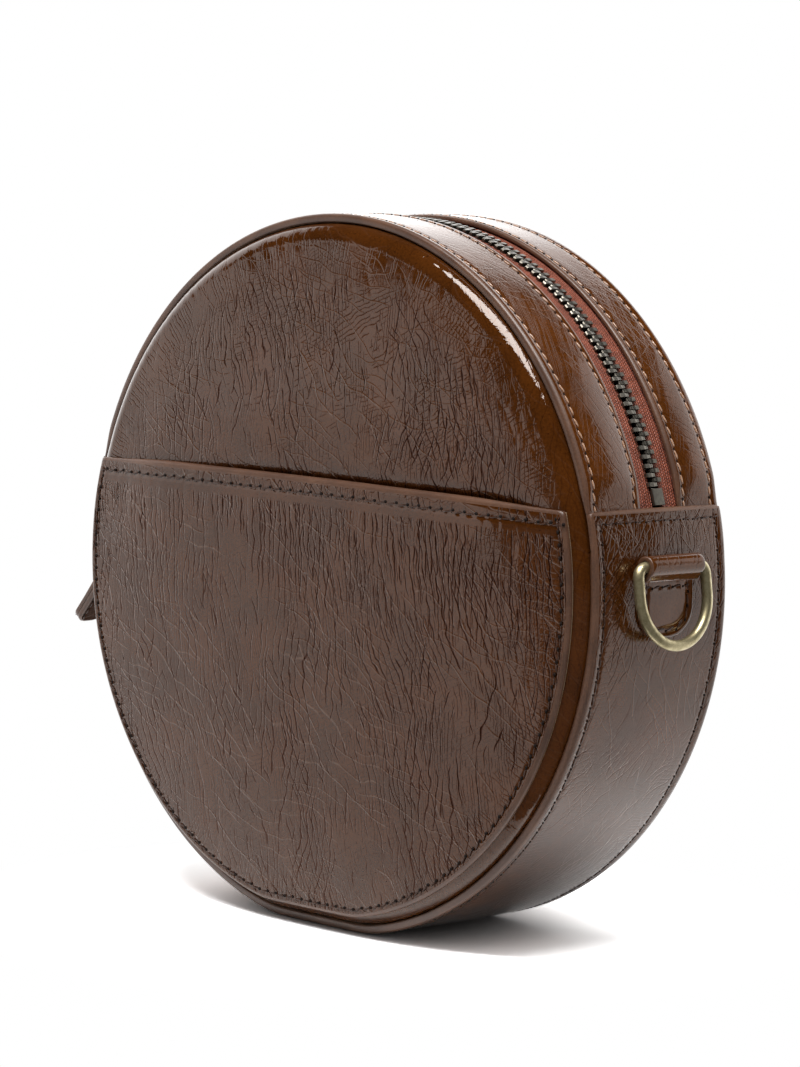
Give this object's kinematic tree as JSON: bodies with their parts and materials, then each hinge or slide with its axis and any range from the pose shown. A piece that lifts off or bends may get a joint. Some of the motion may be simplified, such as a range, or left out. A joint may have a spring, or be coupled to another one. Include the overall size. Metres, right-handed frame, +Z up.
{
  "type": "circle bag",
  "caption": "Round leather shoulder bag with a slip pocket on its front, a curved zip over its top and a D ring for a strap on each side.",
  "frame": {"origin": "on the ground under the middle of the bag, where it stands on its settled lower gusset", "axes": "+Z up, -Y is the front with the pocket, +X to the right of someone facing the front; the bag's round axis lies along Y"},
  "size_m": [0.2434, 0.0686, 0.1982],
  "materials": {
    "patent_leather": "crinkled patent, dark brown, glossy, with painted light brown edges",
    "backing_leather": "plain split leather with a painted edge",
    "lining_cloth": "plain woven cotton",
    "padding_foam": "thin foam sheet",
    "zip_tape": "woven rust brown tape",
    "zip_metal": "dark antique plating, worn bright on the edges",
    "antique_brass": "brushed antique brass"
  },
  "bodies": {
    "bag": {"front_panel": "patent_leather", "front_padding": "padding_foam", "front_lining": "lining_cloth", "back_panel": "patent_leather", "back_padding": "padding_foam", "back_lining": "lining_cloth", "front_pocket": "patent_leather", "pocket_lining": "lining_cloth", "lower_gusset": "patent_leather", "gusset_backing": "backing_leather", "gusset_lining": "lining_cloth", "zip_strip_front": "patent_leather", "zip_strip_back": "patent_leather", "strip_backing_front": "backing_leather", "strip_backing_back": "backing_leather", "zip_tape_front": "zip_tape", "zip_tape_back": "zip_tape", "zip_lining_front": "lining_cloth", "zip_lining_back": "lining_cloth", "zip_teeth_front": "zip_metal", "zip_teeth_back": "zip_metal", "zip_bottom_stop": "zip_metal", "zip_top_stops": "zip_metal", "ring_loop_right": "patent_leather", "ring_loop_left": "patent_leather"},
    "ring_right": {"d_ring_right": "antique_brass"},
    "ring_left": {"d_ring_left": "antique_brass"},
    "slider": {"zip_slider": "antique_brass"},
    "pull_link": {"zip_pull_link": "antique_brass"},
    "pull": {"zip_pull_tab": "patent_leather"}
  },
  "joints": [
    {"name": "slider_run", "type": "hinge", "parent": "bag", "child": "slider", "pos_m": [0, 0.0024, 0.09837], "axis": [0, 1, 0], "range_deg": [0, 138.3], "deforming": ["zip_teeth_front", "zip_teeth_back"]},
    {"name": "link_swing", "type": "hinge", "parent": "slider", "child": "pull_link", "pos_m": [-0.09647, 0.0024, 0.13316], "axis": [0, 1, 0], "range_deg": [0, 90]},
    {"name": "pull_swing", "type": "hinge", "parent": "pull_link", "child": "pull", "pos_m": [-0.10368, 0.0024, 0.11832], "axis": [0, 1, 0], "range_deg": [0, 30]},
    {"name": "ring_swing_right", "type": "hinge", "parent": "bag", "child": "ring_right", "pos_m": [0.10243, 0, 0.10967], "axis": [0, -1, 0], "range_deg": [0, 125]},
    {"name": "ring_swing_left", "type": "hinge", "parent": "bag", "child": "ring_left", "pos_m": [-0.10243, 0, 0.10967], "axis": [0, 1, 0], "range_deg": [0, 22]}
  ]
}
